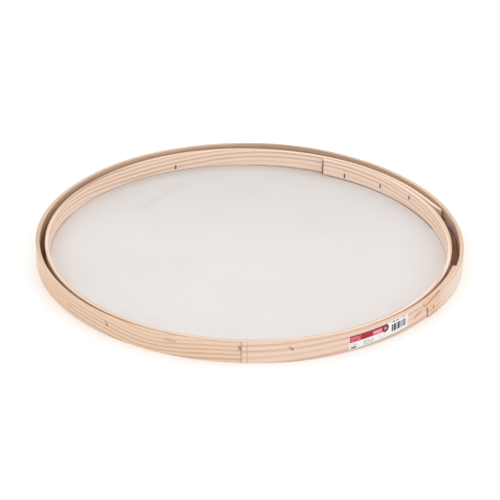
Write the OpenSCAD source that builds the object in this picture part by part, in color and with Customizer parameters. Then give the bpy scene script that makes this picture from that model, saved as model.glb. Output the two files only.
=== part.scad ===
// Round soil sieve: two bent pine hoops, one inside the other, with a fine woven screen drawn
// under the inner hoop. The screen's edge is turned up and trapped between the two hoops.
//
// Millimetres, +Z up. The front of the sieve, where the label is, faces -Y.
// The origin is the centre of the outer hoop, on the surface that the sieve stands on.
//
// A hoop is one long strip that winds clockwise, seen from above, from its inside end to its
// outside end, and laps over itself. A place along it is a "turn": the degrees wound so far.

/* [Wood strips] */
// Thickness of the bent strips
strip_t = 5.2; // [4.4:0.1:6]
// Bevel along the long edges of the strips
edge_bevel = 0.6; // [0.2:0.1:1.2]

/* [Outer hoop] */
// Outside diameter, measured over the lap
outer_d = 600; // [560:10:700]
// Height of the outer hoop
outer_h = 28; // [26:1:36]
// Direction of the strip's inside end, anticlockwise from +X
outer_start = -16; // [-30:1:-10]
// How far the two ends lap, in degrees
outer_lap = 22; // [18:1:30]
// Gap between the two layers of the lap
outer_lap_gap = 0.1; // [0.1:0.1:0.3]
// Length of the planed taper that thins the outside end, in degrees
feather = 16; // [10:1:18]
// Thickness left at the outside end
feather_tip = 0.4; // [0.3:0.1:1]

/* [Splice in the outer hoop] */
// Turn at which the hoop's two lengths of wood are finger-jointed
splice_turn = 74.4; // [72:0.1:78]
// Length of the fingers
finger_l = 7.4; // [5:0.1:9]
// Thickness of the glue line, measured along the strip
glue_line = 0.2; // [0.1:0.1:0.4]

/* [Inner hoop] */
// Height of the inner hoop, whose top edge is level with the outer one
inner_h = 26; // [24:0.5:26]
// Radial room between the hoops, measured where each strip begins
hoop_play = 8.8; // [8.8:0.2:12]
// How far the inner hoop sits towards the front
inner_forward = 6.6; // [3:0.2:6.6]
// How far the inner hoop sits to the right
inner_right = 1; // [-1:0.5:1]
// Direction of the strip's inside end, anticlockwise from +X
inner_start = 66.5; // [55:0.5:75]
// How far the two ends lap, in degrees
inner_lap = 47.8; // [40:0.2:60]
// Gap between the two layers of the lap
inner_lap_gap = 1; // [0.2:0.1:1.2]

/* [Screen] */
// Thickness of the woven screen
screen_t = 0.5; // [0.3:0.1:0.6]
// Thickness of the screen's turned-up edge, pressed flat against the inner hoop
edge_t = 0.3; // [0.2:0.05:0.3]
// Room between the turned-up edge and the inner hoop
edge_gap = 0.1; // [0.05:0.05:0.15]
// Height of the turned-up edge above the screen
edge_h = 18; // [10:1:22]

/* [Staples] */
// Length of a staple's crown
crown_l = 7; // [6:0.5:9]
// Width of the flat wire
wire_w = 1.2; // [0.9:0.1:1.6]
// Thickness of the flat wire, half of which stands proud of the wood
wire_t = 0.6; // [0.4:0.1:0.8]
// Length of a staple's legs
leg_l = 9; // [8:0.5:10]

/* [Label] */
// Length of the label along the hoop
label_l = 97; // [70:1:100]
// Height of the label
label_h = 19.6; // [12:0.2:20]
// How far the label was stuck on askew, raising the end that is nearer the lap
label_tilt = 2.2; // [0:0.1:3]
// Thickness of the label
label_t = 0.2; // [0.1:0.1:0.3]
// Thickness of the glue under the label
label_glue = 0.12; // [0.1:0.02:0.2]
// Turn at which the label begins
label_turn = 28.7; // [26:0.1:34]
// Height of the label's lower edge above the ground, at the middle of its length
label_z = 4.7; // [3:0.1:6]

/* [Hidden] */
$fn = 180;

FULL_TURN = 360;
QUARTER = 90;
PINE = [0.90, 0.77, 0.64];
PALE_PINE = [0.93, 0.81, 0.69];
CLOTH = [0.93, 0.91, 0.88];

// The wound strip is drawn as quarter circles. Each one is larger than the last by "step", and
// its centre moves round the corners of a small square whose middle is the hoop's pole.
outer_step = (strip_t + outer_lap_gap) / 4;
inner_step = (strip_t + inner_lap_gap) / 4;
// Places the widest points of the outer hoop evenly about the origin
outer_pole = -outer_step * [1, 1];
inner_pole = outer_pole + [inner_right, -inner_forward];
// Radius of each strip's outer face over its first quarter
outer_r = outer_d / 2 - 4 * outer_step;
inner_r = outer_r - strip_t - hoop_play;

// A hoop is held as [pole, step, start direction, outer-face radius]
OUTER = [outer_pole, outer_step, outer_start, outer_r];
INNER = [inner_pole, inner_step, inner_start, inner_r];
// The screen's edge winds as the inner hoop does, just outside it
EDGE = [inner_pole, inner_step, inner_start, inner_r + edge_gap + edge_t];

inner_z = outer_h - inner_h;
screen_z = inner_z - screen_t;
// Radius of the plain middle of the screen, and the width of the ring that overlaps it
screen_core_r = inner_r - 30;
screen_ring_w = 45;

// Staples: [hoop, turn, height above the ground, lean of the crown, driven from inside]
INNER_LAP_STAPLES = [[INNER, 7.4, 9, 3, true], [INNER, 21, 13, 2, true], [INNER, 34.1, 18.8, 5, true]];
OUTER_LAP_STAPLE = [OUTER, 377.3, 10.5, 15, false];
RIM_STAPLES = [[OUTER, 62.9, 19.8, 50, false], [OUTER, 111.6, 17.6, 40, false]];
SCREEN_TACK = [INNER, 312, 8.6, 2, true];
ALL_STAPLES = concat(INNER_LAP_STAPLES, RIM_STAPLES, [OUTER_LAP_STAPLE, SCREEN_TACK]);

// The taper's outer face is part of a circle as large as the hoop's, which slides away from it
feather_from = FULL_TURN + outer_lap - feather;
feather_slide = (strip_t - feather_tip) / sin(feather);

function ahead(a) = [cos(a), sin(a)];

// Centre of the hoop's quarter number k
function quarter_centre(hoop, k) =
    let (from = ahead(hoop[2]), to = ahead(hoop[2] - QUARTER))
    hoop[0] + hoop[1] * ([[0, 0], -to, from - to, from][k % 4] + (to - from) / 2);

// Point on the hoop's outer face, or "inset" inside it, at a turn
function on_hoop(hoop, turn, inset) =
    let (k = floor(turn / QUARTER))
    quarter_centre(hoop, k) + (hoop[3] + k * hoop[1] - inset) * ahead(hoop[2] - turn);

// Depth of wood planed off the outer hoop's outer face at a turn
function planed(turn) = turn > feather_from ? feather_slide * sin(turn - feather_from) : 0;

// Section of a strip, with its outer face on the Y axis
module strip_section(wall, h, bevel) {
    if (bevel > 0)
        polygon([[-wall + bevel, 0], [-bevel, 0], [0, bevel], [0, h - bevel],
                 [-bevel, h], [-wall + bevel, h], [-wall, h - bevel], [-wall, bevel]]);
    else
        translate([-wall, 0]) square([wall, h]);
}

// Strip wound from the turn "begin" to the turn "end"
module wound_strip(hoop, wall, h, bevel, begin, end) {
    translate(hoop[0])
        rotate(hoop[2])
            translate(-hoop[1] / 2 * [1, 1])
                wind_on(hoop[3], hoop[1], wall, h, bevel, begin, end);
}

// One quarter of a strip, clockwise from +X about the local origin, and then all the rest of it
module wind_on(radius, step, wall, h, bevel, begin, end) {
    if (begin < QUARTER)
        clockwise_arc(max(begin, 0), min(end, QUARTER))
            translate([radius, 0])
                strip_section(wall, h, bevel);
    if (end > QUARTER)
        rotate(-QUARTER)
            translate([-step, 0])
                wind_on(radius + step, step, wall, h, bevel, begin - QUARTER, end - QUARTER);
}

// Sweeps a section clockwise. Turning is left to the end where the strip stops, so that the end
// that carries on into the next arc meets it exactly.
module clockwise_arc(first, last) {
    if (first > 0)
        rotate(-last) rotate_extrude(angle = last - first) children();
    else
        mirror([0, 1, 0]) rotate_extrude(angle = last) children();
}

// Side of the splice that one length of wood gives up to the other: 1 is the short length's side
module splice_side(side) {
    reach = 3 * finger_l;
    shift = side * glue_line / 2;
    zigzag = [for (i = [0 : 3]) [-i * strip_t / 3, (i % 2 == 0 ? 0.5 : -0.5) * finger_l - shift]];
    outside = [[1, zigzag[0][1]]];
    inside = [[-strip_t - 1, zigzag[3][1]]];
    back = [[-strip_t - 1, side * reach], [1, side * reach]];
    translate(on_hoop(OUTER, splice_turn, 0))
        rotate(outer_start - splice_turn)
            translate([0, 0, -1])
                linear_extrude(outer_h + 2)
                    polygon(concat(outside, zigzag, inside, back));
}

// Wood planed off the outside end, which leaves the taper
module feather_waste() {
    k = floor(feather_from / QUARTER);
    centre = quarter_centre(OUTER, k);
    radius = outer_r + k * outer_step;
    out = 2 * strip_t;
    translate([0, 0, -1])
        linear_extrude(outer_h + 2)
            difference() {
                translate(centre)
                    rotate(outer_start - outer_lap)
                        translate([radius * cos(feather) - out, -out])
                            square([radius * (1 - cos(feather)) + 2 * out, radius * sin(feather) + 2 * out]);
                translate(centre + feather_slide * ahead(outer_start - feather_from + QUARTER))
                    circle(r = norm([radius, feather_slide]));
            }
}

// Staple with its crown upright on the face x = 0 and its legs towards -X
module staple() {
    translate([-wire_t / 2, -wire_w / 2, -crown_l / 2])
        cube([wire_t, wire_w, crown_l]);
    for (leg_z = [-crown_l / 2, crown_l / 2 - wire_t])
        translate([wire_t / 2 - leg_l, -wire_w / 2, leg_z])
            cube([leg_l, wire_w, wire_t]);
}

module placed_staple(spec) {
    from_inside = spec[4];
    place = on_hoop(spec[0], spec[1], from_inside ? strip_t : planed(spec[1]));
    translate([place[0], place[1], spec[2]])
        rotate(spec[0][2] - spec[1] + (from_inside ? 180 : 0))
            rotate([spec[3], 0, 0])
                staple();
}

module all_staples() {
    for (spec = ALL_STAPLES)
        placed_staple(spec);
}

// Length of wood from the inside end, at the right, to the splice at the front
module outer_strip_short() {
    color(PALE_PINE)
        difference() {
            wound_strip(OUTER, strip_t, outer_h, edge_bevel, 0, splice_turn + 2);
            splice_side(-1);
            all_staples();
        }
}

// Length of wood from the splice, all the way round, to the outside end
module outer_strip_long() {
    color(PINE)
        difference() {
            wound_strip(OUTER, strip_t, outer_h, edge_bevel, splice_turn - 2, FULL_TURN + outer_lap);
            splice_side(1);
            feather_waste();
            all_staples();
        }
}

module inner_hoop() {
    color(PINE)
        difference() {
            translate([0, 0, inner_z])
                wound_strip(INNER, strip_t, inner_h, edge_bevel, 0, FULL_TURN + inner_lap);
            all_staples();
        }
}

// Flat part of the screen, out to the fold at the foot of the inner hoop
module screen() {
    color(CLOTH)
        translate([0, 0, screen_z]) {
            translate(inner_pole)
                cylinder(r = screen_core_r, h = screen_t);
            wound_strip(EDGE, screen_ring_w, screen_t, 0, inner_lap, FULL_TURN + inner_lap);
        }
}

// Part of the screen that is turned up between the hoops
module screen_edge() {
    color(CLOTH)
        difference() {
            translate([0, 0, inner_z])
                wound_strip(EDGE, edge_t, edge_h, 0, inner_lap, FULL_TURN + inner_lap);
            all_staples();
        }
}

// Paper label stuck round the outside of the short length
module label() {
    skin = [outer_pole, outer_step, outer_start, outer_r + label_glue + label_t];
    label_angle = label_l / outer_r * 180 / PI;
    middle = label_turn + label_angle / 2;
    pin = concat(on_hoop(skin, middle, 0), label_z + label_h / 2);
    color("white")
        translate(pin)
            rotate(label_tilt, concat(ahead(outer_start - middle), 0))
                translate(-pin)
                    translate([0, 0, label_z])
                        wound_strip(skin, label_t, label_h, 0, label_turn, label_turn + label_angle);
}

module inner_lap_staple(i) {
    color("silver") placed_staple(INNER_LAP_STAPLES[i - 1]);
}

module outer_lap_staple() {
    color("silver") placed_staple(OUTER_LAP_STAPLE);
}

module rim_staple(i) {
    color("silver") placed_staple(RIM_STAPLES[i - 1]);
}

module screen_tack() {
    color("silver") placed_staple(SCREEN_TACK);
}

outer_strip_short();
outer_strip_long();
inner_hoop();
screen();
screen_edge();
label();
for (i = [1 : 3])
    inner_lap_staple(i);
outer_lap_staple();
for (i = [1 : 2])
    rim_staple(i);
screen_tack();
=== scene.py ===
"""A round soil sieve: two bent pine hoops with a fine woven screen trapped between them.

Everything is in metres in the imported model's frame: +Z up, the label towards -Y, the origin at
the centre of the outer hoop on the surface that the sieve stands on. A place along a hoop's
strip is a "turn": the degrees wound clockwise from the strip's inside end.
"""

import math

import bpy
import numpy as np
from mathutils import Matrix, Vector


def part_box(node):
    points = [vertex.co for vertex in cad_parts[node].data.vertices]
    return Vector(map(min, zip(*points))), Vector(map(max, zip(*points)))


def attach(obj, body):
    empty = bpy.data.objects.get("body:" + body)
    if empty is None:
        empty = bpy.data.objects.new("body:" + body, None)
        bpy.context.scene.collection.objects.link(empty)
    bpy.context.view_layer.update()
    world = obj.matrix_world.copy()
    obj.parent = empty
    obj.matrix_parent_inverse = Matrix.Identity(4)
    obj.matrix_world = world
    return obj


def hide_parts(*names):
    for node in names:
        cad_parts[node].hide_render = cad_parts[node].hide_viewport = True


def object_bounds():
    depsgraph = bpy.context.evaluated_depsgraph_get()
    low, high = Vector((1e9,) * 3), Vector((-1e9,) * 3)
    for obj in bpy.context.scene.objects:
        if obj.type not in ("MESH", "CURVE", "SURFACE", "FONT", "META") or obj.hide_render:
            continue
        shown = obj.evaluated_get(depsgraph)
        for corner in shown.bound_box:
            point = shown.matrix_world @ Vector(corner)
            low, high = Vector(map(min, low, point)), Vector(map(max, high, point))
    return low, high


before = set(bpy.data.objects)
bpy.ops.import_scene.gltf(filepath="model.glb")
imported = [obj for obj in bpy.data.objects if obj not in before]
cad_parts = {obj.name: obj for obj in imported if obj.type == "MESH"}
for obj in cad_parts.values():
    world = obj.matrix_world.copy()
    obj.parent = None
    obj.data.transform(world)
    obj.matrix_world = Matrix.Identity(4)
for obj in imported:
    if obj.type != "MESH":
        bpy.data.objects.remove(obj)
CAD_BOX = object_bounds()
MM = 0.001

# ---------------------------------------------------------------- the hoops, as the frame has them
STRIP_T = 5.2 * MM
OUTER_START, INNER_START = -16.0, 66.5
HOOP_PLAY = 8.8 * MM
OUTER_H = float(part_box("outer_strip_long")[1][2])
INNER_Z = float(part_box("inner_hoop")[0][2])
INNER_H = OUTER_H - INNER_Z
OUTER_LAP, INNER_LAP = 22.0, 47.8
SPLICE_TURN, FINGER_TURN = 75.15, 73.7
FEATHER_FROM, FEATHER_TURN, FEATHER_SLIDE = 366.0, 16.0, 17.41 * MM
ROUGH_END_FROM = 376.0
END_SLANT = 0.85
TIP_LOSS, TIP_TURN = 3.2 * MM, 3.0
EDGE_EASE = 0.5 * MM
LABEL_TURN, LABEL_L, LABEL_H, LABEL_TILT = 28.7, 97 * MM, 19.6 * MM, math.radians(2.2)
OUTER_STEP, INNER_STEP = 1.325 * MM, 1.55 * MM
OUTER_POLE = np.array([-OUTER_STEP, -OUTER_STEP])
INNER_POLE = OUTER_POLE + np.array([1.0, -6.6]) * MM
OUTER_R = 0.3 - 4 * OUTER_STEP
INNER_R = OUTER_R - STRIP_T - HOOP_PLAY


class Hoop:
    """A strip wound in quarter circles, each one a step larger than the one before. bulge holds
    (turn, mm outwards) knots; spring is the turn where the end starts to stand away, the degrees
    that takes and the mm it reaches."""

    def __init__(self, pole, step, start, radius, bulge, spring=(0, 1, 0)):
        self.pole, self.step, self.start, self.radius = pole, step, start, radius
        self.bulge, self.spring = np.array(bulge, float), spring

    def out_of_round(self, turn):
        """How far a real strip strays from the true winding."""
        begin, span, reach = self.spring
        stray = smooth_interp(turn, self.bulge)
        return (stray + reach * np.clip((turn - begin) / span, 0, 1) ** 2) * MM

    def place(self, turn, inset=0.0):
        """Points on the outer face, or inset inside it, at the given turns."""
        turn = np.asarray(turn, float)
        k = np.floor(turn / 90).astype(int)
        toward = ahead(self.start - turn)
        first, last = ahead(self.start), ahead(self.start - 90)
        corners = np.array([np.zeros(2), -last, first - last, first])
        centre = self.pole + self.step * (corners[k % 4] + (last - first) / 2)
        radius = self.radius + k * self.step - inset + self.out_of_round(turn)
        return centre + radius[..., None] * toward


def ahead(degrees):
    """Unit vectors in plan at these angles."""
    a = np.radians(degrees)
    return np.stack([np.cos(a), np.sin(a)], axis=-1)


def smooth_interp(x, knots):
    """Smooth curve through a few (x, y) knots, flat beyond the first and last."""
    x = np.asarray(x, float)
    i = np.clip(np.searchsorted(knots[:, 0], x) - 1, 0, len(knots) - 2)
    t = np.clip((x - knots[i, 0]) / (knots[i + 1, 0] - knots[i, 0]), 0, 1)
    return knots[i, 1] + (knots[i + 1, 1] - knots[i, 1]) * t * t * (3 - 2 * t)


OUTER = Hoop(OUTER_POLE, OUTER_STEP, OUTER_START, OUTER_R,
             bulge=((-5, 0), (18, -1.1), (44, -1.1), (60, 0.2), (75, 0), (170, 0), (194, -0.8),
                    (225, 0.6), (246, 1.4), (268, 2.2), (290, 0.4), (310, 0), (355, 0), (378, -1.1)))
INNER = Hoop(INNER_POLE, INNER_STEP, INNER_START, INNER_R,
             bulge=((60, 0), (95, -0.8), (115, -0.8), (150, 0)), spring=(395.8, 12, 3.8))


# ---------------------------------------------------------------- mesh helpers
def new_piece(name, vertices, faces, replaced, material):
    """A piece on the one body, standing for the CAD nodes it replaces."""
    mesh = bpy.data.meshes.new(name)
    mesh.from_pydata([tuple(v) for v in vertices], [], faces)
    mesh.materials.append(material)
    mesh.update()
    piece = bpy.data.objects.new(name, mesh)
    bpy.context.scene.collection.objects.link(piece)
    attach(piece, "root")
    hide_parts(*replaced)
    return piece


def store_vectors(piece, name, values):
    """Keeps one vector per point on the mesh, for its material to read."""
    store = piece.data.attributes.new(name, "FLOAT_VECTOR", "POINT")
    store.data.foreach_set("vector", np.asarray(values, np.float32).ravel())


def bar_faces(rows, n):
    """Faces of a bar made of rows of n points round its section, with both ends closed."""
    faces = [(r * n + i, r * n + (i + 1) % n, (r + 1) * n + (i + 1) % n, (r + 1) * n + i)
             for r in range(rows - 1) for i in range(n)]
    return faces + [tuple(reversed(range(n))), tuple(range((rows - 1) * n, rows * n))]


def shade_smooth(piece, sharp_angle=40):
    piece.data.shade_smooth()
    piece.data.set_sharp_from_angle(angle=math.radians(sharp_angle))


def waver_of(seed):
    """A repeatable wavering value between -1 and 1, as a function of any angle or length."""
    source = np.random.default_rng(seed)
    waves = [(f, source.uniform(0, 2 * math.pi), 1 / f ** 0.5) for f in (1.0, 1.7, 2.9, 4.3, 6.1)]
    total = sum(w for _, _, w in waves)
    return lambda x: sum(w * np.sin(f * np.asarray(x) + p) for f, p, w in waves) / total


def strip_section(wall, height, ease):
    """Closed outline of a strip's section as (inset, height) points, with eased corners."""
    corner_steps, side_steps = 3, [4, 22, 4, 22]
    middles = [(ease, height - ease), (wall - ease, height - ease), (wall - ease, ease), (ease, ease)]
    points = []
    for i, (x, z) in enumerate(middles):
        start = 180 - 90 * i
        for j in range(corner_steps + 1):
            a = math.radians(start - 90 * j / corner_steps)
            points.append((x + ease * math.cos(a), z + ease * math.sin(a)))
        end, (next_x, next_z) = points[-1], middles[(i + 1) % 4]
        b = math.radians(start - 90)
        goal = (next_x + ease * math.cos(b), next_z + ease * math.sin(b))
        for j in range(1, side_steps[i]):
            t = j / side_steps[i]
            points.append((end[0] + (goal[0] - end[0]) * t, end[1] + (goal[1] - end[1]) * t))
    return np.array(points)


def wooden_strip(node, hoop, begin, end, foot, height, seed, end_shape, thinned, material):
    """A bent strip with eased, slightly uneven edges, in place of a CAD node. Its "wood" attribute
    holds each point's place in the straight piece of wood: along it, through it and up it."""
    row_length = 2.0 * MM
    rows = int(math.radians(end - begin) * hoop.radius / row_length)
    turns = np.linspace(begin, end, rows)
    section = strip_section(STRIP_T, height, EDGE_EASE)
    inset = np.tile(section[:, 0], (rows, 1))
    up = np.tile(section[:, 1], (rows, 1))
    turn = np.tile(turns[:, None], (1, len(section)))
    turn = end_shape(turn, up / height, inset / STRIP_T)
    off_outside, off_inside = thinned(turn)
    inset = off_outside + inset * (STRIP_T - off_outside - off_inside) / STRIP_T
    waver, edge, thick = waver_of(seed), waver_of(seed + 1), waver_of(seed + 2)
    lift = 0.22 * MM * waver(np.radians(turn) * 3.1) * (up / height)
    rough = 0.06 * MM * edge(np.radians(turn) * 41) * np.where(up > height * 0.9, 1, 0)
    swell = 0.10 * MM * thick(np.radians(turn) * 5.3) * (inset / STRIP_T - 0.5)
    plan = hoop.place(turn, inset - swell)
    z = foot + up + lift + rough
    vertices = np.concatenate([plan, z[..., None]], axis=-1).reshape(-1, 3)
    faces = bar_faces(rows, len(section))
    piece = new_piece(node + "_wood", vertices, faces, [node], material)
    store_vectors(piece, "wood", np.stack([np.radians(turn) * hoop.radius, inset, up], axis=-1))
    shade_smooth(piece)


# ---------------------------------------------------------------- node helpers
class Nodes:
    """Short ways to build a node-based material."""

    def __init__(self, name):
        self.material = bpy.data.materials.new(name)
        self.material.use_nodes = True
        self.tree = self.material.node_tree
        self.tree.nodes.clear()

    def add(self, kind, **settings):
        node = self.tree.nodes.new(kind)
        for key, value in settings.items():
            setattr(node, key, value)
        return node

    def feed(self, socket, value):
        if isinstance(value, bpy.types.NodeSocket):
            self.tree.links.new(value, socket)
        else:
            socket.default_value = value

    def math(self, operation, a, b=0.0, c=0.0, clamp=False):
        node = self.add("ShaderNodeMath", operation=operation, use_clamp=clamp)
        for socket, value in zip(node.inputs, (a, b, c)):
            self.feed(socket, value)
        return node.outputs[0]

    def times(self, a, b):
        return self.math("MULTIPLY", a, b)

    def ramp(self, value, low, high):
        """0 below low, 1 above high, and smooth between."""
        node = self.add("ShaderNodeMapRange", interpolation_type="SMOOTHSTEP")
        for socket, v in zip(node.inputs, (value, low, high, 0.0, 1.0)):
            self.feed(socket, v)
        return node.outputs[0]

    def fall(self, value, low, high):
        """1 below low, 0 above high, and smooth between."""
        return self.math("SUBTRACT", 1.0, self.ramp(value, low, high))

    def bell(self, value, middle, width):
        """1 at the middle, dying away over the width on both sides."""
        off = self.math("DIVIDE", self.math("SUBTRACT", value, middle), width)
        return self.math("EXPONENT", self.times(self.times(off, off), -1.0))

    def length(self, a, b):
        return self.math("SQRT", self.math("ADD", self.times(a, a), self.times(b, b)))

    def vector(self, x, y, z):
        node = self.add("ShaderNodeCombineXYZ")
        for socket, v in zip(node.inputs, (x, y, z)):
            self.feed(socket, v)
        return node.outputs[0]

    def split(self, vector):
        node = self.add("ShaderNodeSeparateXYZ")
        self.feed(node.inputs[0], vector)
        return node.outputs

    def attribute(self, name):
        return self.add("ShaderNodeAttribute", attribute_name=name).outputs["Vector"]

    def noise(self, vector, scale=1.0, detail=2.0, roughness=0.5):
        node = self.add("ShaderNodeTexNoise")
        self.feed(node.inputs["Vector"], vector)
        node.inputs["Scale"].default_value = scale
        node.inputs["Detail"].default_value = detail
        node.inputs["Roughness"].default_value = roughness
        return node.outputs["Fac"]

    def mix(self, share, a, b):
        node = self.add("ShaderNodeMix", data_type="RGBA", blend_type="MIX")
        self.feed(node.inputs[0], share)
        self.feed(node.inputs[6], a)
        self.feed(node.inputs[7], b)
        return node.outputs[2]

    def bump(self, height, distance, strength=1.0, normal=None):
        node = self.add("ShaderNodeBump")
        node.inputs["Strength"].default_value = strength
        node.inputs["Distance"].default_value = distance
        self.feed(node.inputs["Height"], height)
        if normal is not None:
            self.feed(node.inputs["Normal"], normal)
        return node.outputs[0]

    def principled(self, colour, roughness, normal=None, metallic=0.0, specular=0.5):
        node = self.add("ShaderNodeBsdfPrincipled")
        self.feed(node.inputs["Base Color"], colour)
        self.feed(node.inputs["Roughness"], roughness)
        node.inputs["Metallic"].default_value = metallic
        node.inputs["Specular IOR Level"].default_value = specular
        if normal is not None:
            self.feed(node.inputs["Normal"], normal)
        return node

    def show(self, shader):
        out = self.add("ShaderNodeOutputMaterial")
        self.tree.links.new(shader, out.inputs["Surface"])
        return self.material


def srgb(r, g, b):
    """A colour given as 0 to 255 screen values, in linear light."""
    def linear(v):
        v /= 255
        return v / 12.92 if v <= 0.04045 else ((v + 0.055) / 1.055) ** 2.4
    return (linear(r), linear(g), linear(b), 1.0)


# ---------------------------------------------------------------- materials
def pine(name, seed, face_height, early, late, pith, pitch, wander, dips, stains, tints=(),
         dark_end=None):
    """Bent pine, grained in its own unbent space. early and late are the colours of a year's pale
    and dark wood; pith is the (through, up) place that the growth rings circle; dips bend the
    grain near a length; stains are soft patches, and tints the same on one face only; dark_end
    is the length before which the wood is dark end grain."""
    n = Nodes(name)
    along, through, up = n.split(n.attribute("wood"))
    far = seed * 1.37
    slow = n.noise(n.vector(n.times(along, 2.9), far, n.times(up, 10.0)), detail=1.0)
    quick = n.noise(n.vector(n.times(along, 13.0), far + 5, n.times(up, 40.0)), detail=2.0)
    shift = n.times(n.math("SUBTRACT", slow, 0.5), wander)
    shift = n.math("MULTIPLY_ADD", n.math("SUBTRACT", quick, 0.5), 0.18 * wander, shift)
    for centre, width, depth in dips:
        shift = n.math("MULTIPLY_ADD", n.bell(along, centre, width), depth, shift)
    ring_up = n.math("SUBTRACT", n.math("ADD", up, shift), pith[1])
    ring_in = n.math("SUBTRACT", through, pith[0])
    year = n.math("DIVIDE", n.length(ring_up, ring_in), pitch)
    share = n.math("FRACT", year)
    late_wood = n.times(n.ramp(share, 0.25, 0.78), n.fall(share, 0.84, 1.0))
    which = n.noise(n.vector(n.math("FLOOR", year), far, 0.0), scale=3.7, detail=0.0)
    strength = n.math("MULTIPLY_ADD", n.ramp(which, 0.3, 0.6), 0.55, 0.45)
    late_wood = n.times(late_wood, strength)
    fibre = n.noise(n.vector(n.times(along, 26.0), n.times(through, 1500.0), n.times(up, 1500.0)),
                    detail=3.0, roughness=0.6)
    fine = n.noise(n.vector(n.times(along, 160.0), n.times(through, 5200.0), n.times(up, 5200.0)),
                   detail=2.0)
    patch = n.noise(n.vector(n.times(along, 7.0), far + 9, n.times(up, 40.0)), detail=1.0)
    colour = n.mix(n.times(late_wood, 0.85), early, late)
    pinker = tuple(c * k for c, k in zip(early, (1.0, 0.93, 0.92))) + (1.0,)
    colour = n.mix(n.times(n.ramp(patch, 0.35, 0.75), 0.6), colour, n.mix(0.6, colour, pinker))
    dark = n.times(n.ramp(fibre, 0.50, 0.80), 0.22)
    colour = n.mix(dark, colour, tuple(c * 0.60 for c in late[:3]) + (1.0,))
    pale = n.times(n.ramp(fine, 0.55, 0.85), 0.20)
    colour = n.mix(pale, colour, tuple(min(c * 1.08, 1.0) for c in early[:3]) + (1.0,))
    for start, end, width, depth, tint in stains:
        colour = n.mix(n.times(streak(n, along, up, start, end, width), depth), colour, tint)
    for face, middle, width, depth, tint in tints:
        near = n.bell(along, middle, width)
        on_face = {"top": n.ramp(up, face_height - 1.5 * MM, face_height - 0.4 * MM),
                   "inside": n.ramp(through, STRIP_T - 0.4 * MM, STRIP_T - 0.1 * MM),
                   "outside": n.times(n.ramp(through, 2.8 * MM, 2.2 * MM),
                                      n.ramp(up, face_height - 0.3 * MM, face_height - 1.0 * MM))}[face]
        colour = n.mix(n.times(n.times(near, on_face), depth), colour, tint)
    if dark_end is not None:
        low = n.fall(up, 22 * MM, 24 * MM)
        colour = n.mix(n.times(n.math("LESS_THAN", along, dark_end), low), colour,
                       srgb(126, 92, 66))
    relief = n.math("MULTIPLY_ADD", fibre, 0.6, n.times(late_wood, 0.5))
    normal = n.bump(relief, 0.25 * MM, 0.55)
    normal = n.bump(fine, 0.10 * MM, 0.5, normal)
    roughness = n.math("MULTIPLY_ADD", fibre, 0.22, 0.55)
    return n.show(n.principled(colour, roughness, normal, specular=0.25).outputs[0])


def streak(n, along, up, start, end, width):
    """1 on the line from start to end, falling softly to 0 at the width from it."""
    ds, dz = end[0] - start[0], end[1] - start[1]
    length2 = ds * ds + dz * dz
    rel_s = n.math("SUBTRACT", along, start[0])
    rel_z = n.math("SUBTRACT", up, start[1])
    t = n.math("DIVIDE", n.math("ADD", n.times(rel_s, ds), n.times(rel_z, dz)),
               length2, clamp=True)
    near_s = n.math("SUBTRACT", rel_s, n.times(t, ds))
    near_z = n.math("SUBTRACT", rel_z, n.times(t, dz))
    return n.fall(n.length(near_s, near_z), 0.1 * width, width)


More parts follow.
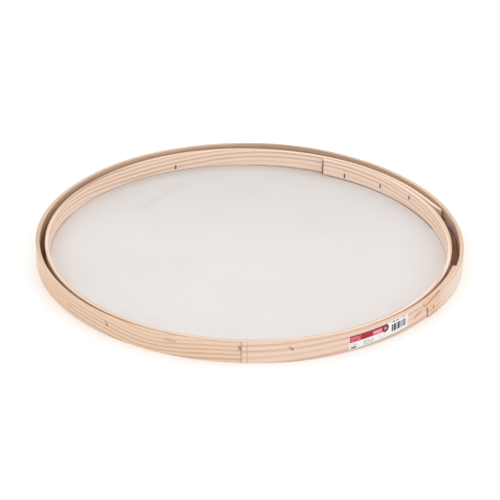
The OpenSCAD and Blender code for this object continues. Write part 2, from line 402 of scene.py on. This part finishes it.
def woven_screen():
    """Very fine plain weave: warp and weft threads, paler where they cross over, with a painted
    brown contact shadow against the inner hoop, strongest along its lap. The "wall" attribute holds
    the distance inside that hoop, how far the place is within its lap, and how far it is towards the
    back."""
    n = Nodes("woven_screen")
    x, y, z = n.split(n.add("ShaderNodeNewGeometry").outputs["Position"])
    wall, lap, rear = n.split(n.attribute("wall"))
    pitch = 0.9 * MM
    lift = n.noise(n.vector(n.times(x, 30.0), n.times(y, 30.0), 0.0))
    drift = n.times(n.math("SUBTRACT", lift, 0.5), 0.004)
    threads = []
    for axis in (x, y):
        at = n.math("DIVIDE", n.math("ADD", axis, drift), pitch)
        wave = n.math("ABSOLUTE", n.math("SINE", n.times(at, math.pi)))
        threads.append(n.fall(wave, 0.35, 0.95))
    cloth = n.math("MAXIMUM", threads[0], threads[1])
    knots = n.times(threads[0], threads[1])
    mottle = n.noise(n.vector(n.times(x, 9.0), n.times(y, 9.0), 3.0), detail=3.0)
    colour = n.mix(n.math("MULTIPLY_ADD", cloth, 0.45, 0.45), srgb(220, 215, 211), srgb(242, 238, 236))
    colour = n.mix(n.times(n.ramp(mottle, 0.40, 0.75), 0.35), colour, srgb(230, 224, 219))
    # painted shade of a soft wrinkle in the cloth at the back left
    wrinkle_shade = streak(n, x, y, (-0.155, 0.130), (-0.105, 0.200), 14 * MM)
    colour = n.mix(n.times(wrinkle_shade, 0.16), colour, srgb(196, 190, 186))
    # painted shade: the cloth darker towards the back
    far_shade = n.times(n.ramp(y, -0.05, 0.24), 0.28)
    colour = n.mix(far_shade, colour, srgb(206, 202, 198))
    # painted shadow of the inner hoop's back wall, soft over 24 mm on the cloth
    wall_shadow = n.times(n.fall(wall, 0.0, 24 * MM), rear)
    colour = n.mix(n.times(wall_shadow, 0.22), colour, srgb(176, 166, 158))
    # painted shade: a brown contact shadow on the cloth against the inner hoop's inside face, strongest
    # along the lap
    contact_shade = n.fall(wall, 0.2 * MM, 2.6 * MM)
    contact_shade = n.times(contact_shade, n.math("MULTIPLY_ADD", lap, 0.70, 0.16))
    colour = n.mix(contact_shade, colour, srgb(112, 90, 72))
    # painted shade: where the cloth spreads into the gap between the hoops it turns dark brown, most of
    # all low down
    outside = n.ramp(wall, -5.0 * MM, -6.0 * MM)
    slot_shade = n.math("MULTIPLY_ADD", n.ramp(z, 20 * MM, 12 * MM), 0.40, 0.48)
    colour = n.mix(n.times(outside, slot_shade), colour, srgb(172, 116, 88))
    height = n.math("MULTIPLY_ADD", knots, 0.6, cloth)
    normal = n.bump(height, 0.10 * MM, 0.35)
    cloth_bsdf = n.principled(colour, 0.68, normal, specular=0.2)
    glow = n.add("ShaderNodeBsdfTranslucent")
    n.feed(glow.inputs["Color"], colour)
    see_through = 0.15
    both = n.add("ShaderNodeMixShader")
    both.inputs[0].default_value = see_through
    n.tree.links.new(cloth_bsdf.outputs[0], both.inputs[1])
    n.tree.links.new(glow.outputs[0], both.inputs[2])
    return n.show(both.outputs[0])


def staple_steel(name, dark, bright, metallic):
    """Flat wire, scuffed where the hammer met it."""
    n = Nodes(name)
    place = n.add("ShaderNodeTexCoord").outputs["Object"]
    scuff = n.noise(place, scale=900.0, detail=3.0)
    brush = n.noise(place, scale=4200.0, detail=2.0)
    colour = n.mix(n.ramp(scuff, 0.35, 0.7), dark, bright)
    roughness = n.math("MULTIPLY_ADD", scuff, 0.35, 0.25)
    normal = n.bump(brush, 0.03 * MM, 0.5)
    return n.show(n.principled(colour, roughness, normal, metallic=metallic).outputs[0])


def printed_label():
    """Coated paper with a red band, plain blocks and bars. Nothing on it is lettering."""
    n = Nodes("printed_label")
    u, v, _ = n.split(n.attribute("print"))

    def block(u0, v0, u1, v1):
        """A soft-edged rectangle between two places on the paper."""
        soft_u, soft_v = 0.003, 0.012
        total = n.times(n.ramp(u, u0 - soft_u, u0 + soft_u), n.fall(u, u1 - soft_u, u1 + soft_u))
        total = n.times(total, n.ramp(v, v0 - soft_v, v0 + soft_v))
        return n.times(total, n.fall(v, v1 - soft_v, v1 + soft_v))

    def broken(area, cells, seed, level=0.45):
        """The area, broken along its length into dashes or bars."""
        cell = n.math("FLOOR", n.times(u, cells))
        noise = n.add("ShaderNodeTexWhiteNoise", noise_dimensions="1D")
        n.feed(noise.inputs["W"], n.math("ADD", cell, seed))
        return n.times(area, n.math("GREATER_THAN", noise.outputs["Value"], level))

    def lay(share, area, tint):
        return n.mix(n.times(area, share), colour, tint)

    grain = n.noise(n.vector(n.times(u, 90.0), n.times(v, 20.0), 0.0), detail=3.0)
    red, maroon, pink = srgb(196, 40, 56), srgb(122, 26, 38), srgb(232, 172, 176)
    ink, grey, deep = srgb(36, 34, 40), srgb(138, 134, 142), srgb(158, 22, 40)
    colour = n.mix(n.ramp(grain, 0.3, 0.7), srgb(236, 236, 237), srgb(226, 226, 228))
    colour = lay(1.0, block(0.008, 0.49, 0.622, 0.985), red)
    colour = lay(0.85, block(0.008, 0.89, 0.622, 0.985), maroon)
    colour = lay(1.0, block(0.190, 0.52, 0.372, 0.86), deep)
    colour = lay(0.75, block(0.380, 0.57, 0.530, 0.80), pink)
    for row in (0.57, 0.70, 0.80):
        colour = lay(0.8, broken(block(0.02, row, 0.175, row + 0.06), 120.0, row * 9), pink)
    length_to_height = 4.95
    disc_u = n.times(n.math("SUBTRACT", u, 0.585), length_to_height)
    disc = n.length(disc_u, n.math("SUBTRACT", v, 0.69))
    colour = lay(1.0, n.fall(disc, 0.28, 0.31), maroon)
    colour = lay(0.8, n.fall(disc, 0.08, 0.12), pink)
    colour = lay(0.95, block(0.030, 0.04, 0.108, 0.15), ink)
    for row, reach in ((0.20, 0.17), (0.28, 0.15), (0.36, 0.16)):
        colour = lay(0.6, broken(block(0.02, row, reach, row + 0.05), 120.0, row * 23), grey)
    for row, reach in ((0.05, 0.40), (0.14, 0.39), (0.23, 0.40), (0.32, 0.37)):
        colour = lay(0.8, broken(block(0.22, row, reach, row + 0.055), 150.0, row * 31, 0.25), grey)
    for row, reach in ((0.12, 0.64), (0.22, 0.60), (0.32, 0.62)):
        colour = lay(0.4, broken(block(0.45, row, reach, row + 0.045), 150.0, row * 17), grey)
    colour = lay(0.95, broken(block(0.694, 0.19, 0.960, 0.74), 112.0, 2.0, 0.33), ink)
    colour = lay(0.85, broken(block(0.700, 0.87, 0.950, 0.96), 110.0, 5.0, 0.35), ink)
    normal = n.bump(grain, 0.05 * MM, 0.3)
    return n.show(n.principled(colour, 0.42, normal, specular=0.4).outputs[0])


# ---------------------------------------------------------------- the wooden strips
def square_end(turn, up, through):
    """Both ends are sawn straight."""
    return turn


def outer_long_ends(turn, up, through):
    """The lap's outside end is a rough cut, further back towards its foot."""
    near_end = np.clip((turn - ROUGH_END_FROM) / (360 + OUTER_LAP - ROUGH_END_FROM), 0, 1)
    cut_back = 2.2 - 2.2 * np.clip((up - 0.46) / 0.36, 0, 1) + 0.12 * np.sin(up * 23)
    return turn - near_end * cut_back


def inner_ends(turn, up, through):
    """The inside end is cut at a slant that shows its end grain from inside the hoop."""
    near_start = np.clip(1 - turn / 2, 0, 1)
    return turn - near_start * (END_SLANT * (1 - through) + 0.06 * np.sin(up * 7))


def even(turn):
    """No wood taken off either face."""
    return np.zeros(turn.shape), np.zeros(turn.shape)


def feathered(turn):
    """The outer hoop's lap is planed away outside towards its end, so that it lies down flush."""
    planed = FEATHER_SLIDE * np.sin(np.radians(np.clip(turn - FEATHER_FROM, 0, FEATHER_TURN)))
    return planed, np.zeros(turn.shape)


def thin_tip(turn):
    """The inner hoop's lap has lost some wood inside its outside end."""
    end = 360 + INNER_LAP
    return np.zeros(turn.shape), TIP_LOSS * np.clip((turn - end + TIP_TURN) / TIP_TURN, 0, 1)


def staple_marks(hoop, scale, depth, tint):
    """Dark marks in the wood where the staples of a hoop go in, except in the planed lap: iron
    stain together with painted shade of the holes, with a wider spot at each mark's lower end.
    """
    foot = INNER_Z if hoop is INNER else 0.0
    reach = 2.5 * MM
    marks = []
    for where, turn, height, lean, _, _ in STAPLES.values():
        if where is not hoop or turn > 360:
            continue
        tilt = math.radians(lean)
        reach_s, reach_z = reach * math.sin(tilt), reach * math.cos(tilt)
        s, z = turn * scale, height * MM - foot
        marks.append(((s - reach_s, z - reach_z), (s + reach_s, z + reach_z), 1.9 * MM, depth, tint))
        # painted shade of the staple's hole: a wider spot at the lower end of each mark
        marks.append(((s - reach_s, z - reach_z), (s - reach_s * 0.5, z - reach_z * 0.5), 2.6 * MM,
                      depth, tint))
    return marks


def short_pine(s, marks, halo, knot, line):
    """The shorter length of the outer hoop: one knot, the finger joint's two lines, the staple."""
    return pine("pine_short", 3, OUTER_H, srgb(227, 201, 183), srgb(200, 166, 142),
                (-0.050, -0.034), 6.4 * MM, 0.014, dips=[(80 * s, 0.095, 0.0055)],
                stains=[((22.2 * s, 0.0185), (25.8 * s, 0.0125), 4.6 * MM, 0.60, halo),
                        ((23.4 * s, 0.0165), (25.6 * s, 0.0132), 2.2 * MM, 0.75, knot),
                        ((FINGER_TURN * s, 0.0), (FINGER_TURN * s, OUTER_H), 0.9 * MM, 0.5, line),
                        ((SPLICE_TURN * s, 0.0), (SPLICE_TURN * s, OUTER_H), 2.2 * MM, 0.50, line)]
                + marks)


def long_pine(s, marks, halo, knot, line):
    """The longer length: a knot and a painted shadow along the foot in the lap, spots by the joint,
    darker places on the top edge, painted shade on the inside face at the back and two painted
    highlights outside."""
    brown, darker_top, painted_highlight = srgb(138, 96, 62), srgb(170, 140, 116), srgb(230, 214, 202)
    stains = [((372 * s, 0.0285), (377.5 * s, 0.0255), 5.0 * MM, 0.55, halo),
              ((376.6 * s, 0.0265), (381.6 * s, 0.0205), 4.2 * MM, 0.60, halo),
              ((374.5 * s, 0.0285), (378.6 * s, 0.0250), 2.4 * MM, 0.75, knot),
              ((378.6 * s, 0.0250), (381.8 * s, 0.0205), 1.9 * MM, 0.85, knot),
              ((SPLICE_TURN * s, 0.0), (SPLICE_TURN * s, OUTER_H), 2.2 * MM, 0.50, line),
              ((SPLICE_TURN * s, 0.0196), ((SPLICE_TURN + 0.4) * s, 0.0226), 4.0 * MM, 0.75, brown),
              ((91.8 * s, 0.0212), (94.2 * s, 0.0220), 3.0 * MM, 0.34, brown),
              ((124.6 * s, 0.0138), (126.4 * s, 0.0142), 3.0 * MM, 0.20, brown),
              # painted shadow: a dark line along the foot of the lap near its outside end
              ((375.5 * s, 0.0), (380.0 * s, 0.0), 1.6 * MM, 0.60, brown)]
    # the top edge is darker in two places, at the back and on the left
    tints = [("top", 264 * s, 20 * s, 0.60, darker_top),
             ("top", 158 * s, 14 * s, 0.40, darker_top),
             # painted shade: the inside face at the back, seen down the gap between the hoops, is
             # darkened
             ("inside", 275 * s, 34 * s, 0.30, srgb(150, 104, 74)),
             # painted highlight: pale patches on the outside face at the far right and left of the rim
             # stand for light falling there
             ("outside", 357 * s, 19 * s, 0.85, painted_highlight),
             ("outside", 162 * s, 15 * s, 0.75, painted_highlight)]
    return pine("pine_outer", 11, OUTER_H, srgb(225, 197, 172), srgb(192, 158, 131),
                (-0.034, -0.034), 5.3 * MM, 0.018, dips=[(99 * s, 0.062, 0.0105)],
                stains=stains + marks, tints=tints)


def make_outer_hoop():
    """Two lengths that meet at the finger joint. s turns degrees into metres along the strip."""
    s = OUTER_R * math.pi / 180
    half_joint = 0.006
    line, knot, halo = srgb(166, 126, 96), srgb(176, 124, 82), srgb(220, 172, 130)
    marks = staple_marks(OUTER, s, 0.75, srgb(128, 92, 66))
    wooden_strip("outer_strip_short", OUTER, 0, SPLICE_TURN - half_joint, 0.0, OUTER_H, 21,
                 square_end, even, short_pine(s, marks, halo, knot, line))
    wooden_strip("outer_strip_long", OUTER, SPLICE_TURN + half_joint, 360 + OUTER_LAP, 0.0, OUTER_H,
                 31, outer_long_ends, feathered, long_pine(s, marks, halo, knot, line))


def make_inner_hoop():
    """One strip with its lap inside. s turns degrees into metres along the strip."""
    s = INNER_R * math.pi / 180
    marks = staple_marks(INNER, s, 0.85, srgb(88, 60, 42))
    tints = [("top", 281 * s, 17 * s, 0.70, srgb(166, 130, 104)),
             ("top", 200 * s, 60 * s, 0.55, srgb(216, 184, 160)),
             # painted shade: the inner hoop's outside face, seen down the gap between the hoops, is
             # darkened
             ("outside", 200 * s, 160 * s, 0.50, srgb(128, 88, 60))]
    wood = pine("pine_inner", 7, INNER_H, srgb(242, 219, 201), srgb(206, 170, 144),
                (0.046, -0.020), 4.8 * MM, 0.016,
                dips=[(60 * s, 0.16, 0.0125), (305 * s, 0.16, 0.0125)], stains=marks,
                tints=tints, dark_end=-0.02 * s)
    wooden_strip("inner_hoop", INNER, 0, 360 + INNER_LAP, INNER_Z, INNER_H, 41,
                 inner_ends, thin_tip, wood)


# ---------------------------------------------------------------- the screen
CLOTH_T = 0.3 * MM
CLOTH_Z = INNER_Z - 0.25 * MM
CLOTH_OFF_WOOD = 0.1 * MM


def cloth_edge(turn):
    """Where the cloth folds up: round the inner hoop's outside, tented over the lap's step."""
    lap_end = INNER.place(np.array([360 + INNER_LAP]), -CLOTH_OFF_WOOD)[0]
    lap_start = INNER.place(np.array([INNER_LAP]), -CLOTH_OFF_WOOD)[0]
    step = np.linalg.norm(lap_end - lap_start)
    tent = step * (1 - np.clip((turn - INNER_LAP) / 9, 0, 1)) ** 1.6
    return INNER.place(turn, -CLOTH_OFF_WOOD - tent)


def flat_bell(turns, middle, width):
    """1 over most of the width either side of the middle, then falling quickly to 0."""
    return np.exp(-((turns - middle) / width) ** 8)


def cloth_top(turns, angle):
    """Height of the cloth's cut edge: uneven, and standing higher or lower in a few places."""
    uneven = waver_of(5)
    top = 12.0 * MM + 3.0 * MM * uneven(angle * 4) + 1.0 * MM * uneven(angle * 23)
    for middle, width, height in ((57.5, 5, 26.0), (241, 4.5, 25.0), (74, 11, 5.5),
                                  (254, 8, 5.0), (230, 6.5, 5.0), (160, 38, 27.3)):
        bell = flat_bell(turns, middle, width)
        top = top * (1 - bell) + height * MM * bell
    return top


def cloth_rows(turns, rim, centre, out):
    """Rings of points as (plan, height): the flat screen, its fold and the turned-up edge, which
    spreads across the gap to the outer hoop in two places, where its colour is painted shade."""
    angle = np.radians(turns)
    gap, top, pleat = room_outside(rim, out), cloth_top(turns, angle), waver_of(6)
    rows = []
    for share in np.concatenate([np.linspace(0.02, 0.92, 40), np.linspace(0.925, 0.995, 30)]):
        flat = centre + (rim - centre) * share
        wave = np.sin(flat[:, 0] * 41 + 1.3 * np.sin(flat[:, 1] * 17))
        rows.append((flat, CLOTH_Z + 0.25 * MM * wave * share * (1 - share)))
    fold = 0.7 * MM
    for a in np.radians([20, 45, 70, 90]):
        rows.append((rim + out * fold * (math.sin(a) - 1), CLOTH_Z + fold * (1 - math.cos(a))))
    spread = sum(flat_bell(turns, middle, width) for middle, width in ((69, 17), (241, 22)))
    room = np.clip(gap - fold, 0, None)
    for share in np.linspace(0.08, 1, 16):
        sway = np.minimum(room, 1.6 * MM) * share * (0.35 + 0.65 * pleat(angle * 30))
        sway = sway * (1 - spread) + spread * room * min(1.0, share * 2.5)
        rows.append((rim + out * np.clip(sway, 0, None)[:, None],
                     CLOTH_Z + fold + (top - INNER_Z) * share))
    return rows


def cloth_wall(turns, rim, out, rows):
    """What the "wall" attribute holds, for the middle and then for each ring's points."""
    inside = np.mod(turns, 360)
    innermost = INNER.place(inside, STRIP_T)
    lap = np.clip(np.minimum(inside, 50 - inside), 0, 2) / 2
    facing = np.degrees(np.arctan2(rim[:, 1], rim[:, 0]))
    rear = np.clip(np.minimum(facing - 55, 145 - facing) / 15, 0, 1)
    wall = [(0.27, 0.0, 0.0)]
    for plan, _ in rows:
        wall += list(zip(np.einsum("ij,ij->i", innermost - plan, out), lap, rear))
    return wall


def make_screen():
    """One circle of cloth: flat under the inner hoop, folded up round it, its cut edge uneven."""
    count = 720
    turns = np.linspace(INNER_LAP, INNER_LAP + 360, count, endpoint=False)
    rim = cloth_edge(turns)
    centre = rim.mean(axis=0)
    reach = np.linalg.norm(rim - centre, axis=1)
    out = (rim - centre) / reach[:, None]
    rows = cloth_rows(turns, rim, centre, out)
    vertices = [(centre[0], centre[1], CLOTH_Z)]
    for plan, z in rows:
        vertices += [(p[0], p[1], h) for p, h in zip(plan, np.broadcast_to(z, (count,)))]
    faces = [(0, 1 + (i + 1) % count, 1 + i) for i in range(count)]
    for r in range(len(rows) - 1):
        a, b = 1 + r * count, 1 + (r + 1) * count
        faces += [(a + i, a + (i + 1) % count, b + (i + 1) % count, b + i) for i in range(count)]
    piece = new_piece("screen_cloth", vertices, faces, ["screen", "screen_edge"],
                      woven_screen())
    store_vectors(piece, "wall", cloth_wall(turns, rim, out, rows))
    thicken(piece, CLOTH_T)
    shade_smooth(piece, 60)


def room_outside(rim, out):
    """Width of the gap between the cloth's fold and the outer hoop."""
    facing = np.degrees(np.arctan2(rim[:, 1], rim[:, 0]))
    outer_turn = np.mod(OUTER.start - facing, 360)
    wall = OUTER.place(outer_turn, STRIP_T)
    return np.einsum("ij,ij->i", wall - rim, out)


def thicken(piece, thickness):
    """Gives a sheet its thickness, inwards and outwards alike."""
    solid = piece.modifiers.new("thickness", "SOLIDIFY")
    solid.thickness, solid.offset, solid.use_even_offset = thickness, 0.0, True
    bpy.context.view_layer.objects.active = piece
    piece.select_set(True)
    bpy.ops.object.modifier_apply(modifier=solid.name)
    piece.select_set(False)


# ---------------------------------------------------------------- staples
WIRE_W, WIRE_T, CROWN_L, LEG_L = 1.2 * MM, 0.6 * MM, 7.0 * MM, 9.0 * MM
# node: (hoop, turn, height above the ground in mm, lean in degrees, driven from inside, bright)
STAPLES = {
    "inner_lap_staple_1": (INNER, 7.4, 9, 3, True, False),
    "inner_lap_staple_2": (INNER, 21, 13, 2, True, False),
    "inner_lap_staple_3": (INNER, 34.1, 18.8, 5, True, False),
    "outer_lap_staple": (OUTER, 377.3, 10.5, 15, False, False),
    "rim_staple_1": (OUTER, 62.9, 19.8, 50, False, True),
    "rim_staple_2": (OUTER, 111.6, 17.6, 40, False, True),
    "screen_tack": (INNER, 312, 8.6, 2, True, False),
}


def staple_path():
    """Centreline of the wire in the staple's own (out, up) plane, with rounded bends."""
    half, bend = CROWN_L / 2 - WIRE_T / 2, 0.7 * MM
    path = [(-LEG_L, -half), (-LEG_L * 0.5, -half), (-bend, -half)]
    path += [(-bend + bend * math.sin(a), -half + bend - bend * math.cos(a))
             for a in np.radians([30, 60, 90])]
    path += [(0.06 * MM * (1 - abs(t)), half * t) for t in (-0.5, 0.0, 0.5)]
    path += [(-bend + bend * math.cos(a), half - bend + bend * math.sin(a))
             for a in np.radians([0, 30, 60, 90])]
    path += [(-LEG_L * 0.5, half), (-LEG_L, half)]
    return np.array(path)


def staple_vertices(path):
    """The wire's flat section carried along its centreline, its edges a little rounded."""
    ease = 0.15 * MM
    w, t = WIRE_W / 2, WIRE_T / 2
    section = [(-t, -w + ease), (-t + ease, -w), (t - ease, -w), (t, -w + ease),
               (t, w - ease), (t - ease, w), (-t + ease, w), (-t, w - ease)]
    tangent = np.gradient(path, axis=0)
    tangent /= np.linalg.norm(tangent, axis=1)[:, None]
    side = np.stack([tangent[:, 1], -tangent[:, 0]], axis=1)
    points = []
    for p, s in zip(path, side):
        points += [(p[0] + s[0] * a, b, p[1] + s[1] * a) for a, b in section]
    return np.array(points), len(section)


def make_staples():
    """Each one sits flush in its hoop's face, its crown upright but for a lean."""
    local, n = staple_vertices(staple_path())
    rusty = staple_steel("rusty_staples", srgb(62, 46, 36), srgb(104, 82, 66), 0.25)
    dull = staple_steel("dull_staples", srgb(140, 116, 98), srgb(196, 176, 158), 0.5)
    for name, (hoop, turn, height, lean, inside, bright) in STAPLES.items():
        planed = 0.0 if inside else float(feathered(np.array(turn))[0])
        at = hoop.place(np.array(turn), STRIP_T if inside else planed)
        facing = math.radians(hoop.start - turn + (180 if inside else 0))
        pose = (Matrix.Translation((at[0], at[1], height * MM)) @ Matrix.Rotation(facing, 4, "Z")
                @ Matrix.Rotation(math.radians(lean), 4, "X"))
        vertices = [pose @ Vector(v) for v in local]
        faces = bar_faces(len(vertices) // n, n)
        piece = new_piece(name + "_wire", vertices, faces, [name],
                          dull if bright else rusty)
        shade_smooth(piece, 50)


# ---------------------------------------------------------------- label
def make_label():
    """Paper stuck on a little askew, following the wood, with one corner starting to lift."""
    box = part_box("label")
    middle_z = (float(box[0][2]) + float(box[1][2])) / 2
    middle_turn = LABEL_TURN + math.degrees(LABEL_L / OUTER_R) / 2
    columns, rows = 96, 20
    off_wood, paper_t, curl = 0.10 * MM, 0.2 * MM, 27.5 * MM
    vertices, prints = [], []
    for layer in (0, 1):
        for c in range(columns + 1):
            u = c / columns
            for r in range(rows + 1):
                v = r / rows
                across, rise = (u - 0.5) * LABEL_L, (v - 0.5) * LABEL_H
                level = across * math.cos(LABEL_TILT) - rise * math.sin(LABEL_TILT)
                z = middle_z + across * math.sin(LABEL_TILT) + rise * math.cos(LABEL_TILT)
                turn = middle_turn - math.degrees(level / OUTER_R)
                crease = 0.03 * MM * math.sin(u * 37 + 2 * v) * math.sin(v * 5 + u * 11)
                lift = curl * max(0.0, u - 0.94) * max(0.0, v - 0.7)
                stand = off_wood + paper_t * layer + 0.5 * (crease + abs(crease)) + lift
                x, y = OUTER.place(np.array(turn), -stand)
                vertices.append((x, y, z))
                prints.append((u, v, 0.0))
    faces, layer_size = [], (columns + 1) * (rows + 1)

    def index(layer, c, r):
        return layer * layer_size + c * (rows + 1) + r

    for c in range(columns):
        for r in range(rows):
            quad = [(c, r), (c + 1, r), (c + 1, r + 1), (c, r + 1)]
            faces.append(tuple(index(1, a, b) for a, b in quad))
            faces.append(tuple(index(0, a, b) for a, b in reversed(quad)))
    border = [(c, 0) for c in range(columns)] + [(columns, r) for r in range(rows)]
    border += [(c, rows) for c in range(columns, 0, -1)] + [(0, r) for r in range(rows, 0, -1)]
    for a, b in zip(border, border[1:] + border[:1]):
        faces.append((index(0, *a), index(0, *b), index(1, *b), index(1, *a)))
    piece = new_piece("label_paper", vertices, faces, ["label"], printed_label())
    store_vectors(piece, "print", prints)
    shade_smooth(piece, 50)


# ---------------------------------------------------------------- stage, light and camera
def make_floor():
    """A wide, nearly white floor just under the sieve."""
    n = Nodes("pale_floor")
    place = n.add("ShaderNodeTexCoord").outputs["Object"]
    cloud = n.noise(place, scale=3.0)
    colour = n.mix(cloud, (0.95, 0.95, 0.95, 1.0), (0.965, 0.965, 0.965, 1.0))
    material = n.show(n.principled(colour, 0.9, specular=0.1).outputs[0])
    mesh = bpy.data.meshes.new("floor")
    half = 8.0
    mesh.from_pydata([(-half, -half, 0), (half, -half, 0), (half, half, 0), (-half, half, 0)], [],
                     [(0, 1, 2, 3)])
    mesh.materials.append(material)
    floor = bpy.data.objects.new("floor", mesh)
    below = 0.05 * MM
    floor.location.z = float(CAD_BOX[0][2]) - below
    bpy.context.scene.collection.objects.link(floor)


def make_light():
    """An even white sky, with two weak lamps at the sides to lift the front of the rim."""
    sky_strength, lamp_size, lamp_power = 1.09, 1.6, 5
    world = bpy.data.worlds.new("studio")
    world.use_nodes = True
    background = world.node_tree.nodes["Background"]
    background.inputs[0].default_value = (1.0, 1.0, 1.0, 1.0)
    background.inputs[1].default_value = sky_strength
    bpy.context.scene.world = world
    for name, place in (("left", (-1.7, -1.6, 1.7)), ("right", (1.9, -1.2, 1.4))):
        lamp = bpy.data.lights.new(name, "AREA")
        lamp.size, lamp.energy = lamp_size, lamp_power
        holder = bpy.data.objects.new(name, lamp)
        holder.location = place
        holder.rotation_mode = "QUATERNION"
        holder.rotation_quaternion = (-Vector(place)).to_track_quat("-Z", "Y")
        bpy.context.scene.collection.objects.link(holder)


def make_camera():
    """Looks down on the sieve from the front, tilted slightly to one side."""
    distance, elevation, roll = 2.5, math.radians(28.52), math.radians(-1.12)
    focal_length_mm, sensor_mm = 127.872, 36.0
    target = Vector((0.47 * MM, 2.25 * MM, 0.0))
    ahead_dir = Vector((0, math.cos(elevation), -math.sin(elevation)))
    right = Vector((1, 0, 0))
    up = right.cross(ahead_dir)
    x_axis = math.cos(roll) * right - math.sin(roll) * up
    y_axis = math.sin(roll) * right + math.cos(roll) * up
    camera = bpy.data.cameras.new("camera")
    camera.sensor_width = sensor_mm
    camera.lens = focal_length_mm
    camera.clip_end = 50.0
    holder = bpy.data.objects.new("camera", camera)
    turn = Matrix((x_axis, y_axis, -ahead_dir)).transposed()
    holder.matrix_world = Matrix.Translation(target - ahead_dir * distance) @ turn.to_4x4()
    bpy.context.scene.collection.objects.link(holder)
    bpy.context.scene.camera = holder


make_camera()
make_outer_hoop()
make_inner_hoop()
make_screen()
make_staples()
make_label()
make_floor()
make_light()
bpy.context.scene.view_settings.view_transform = "Standard"
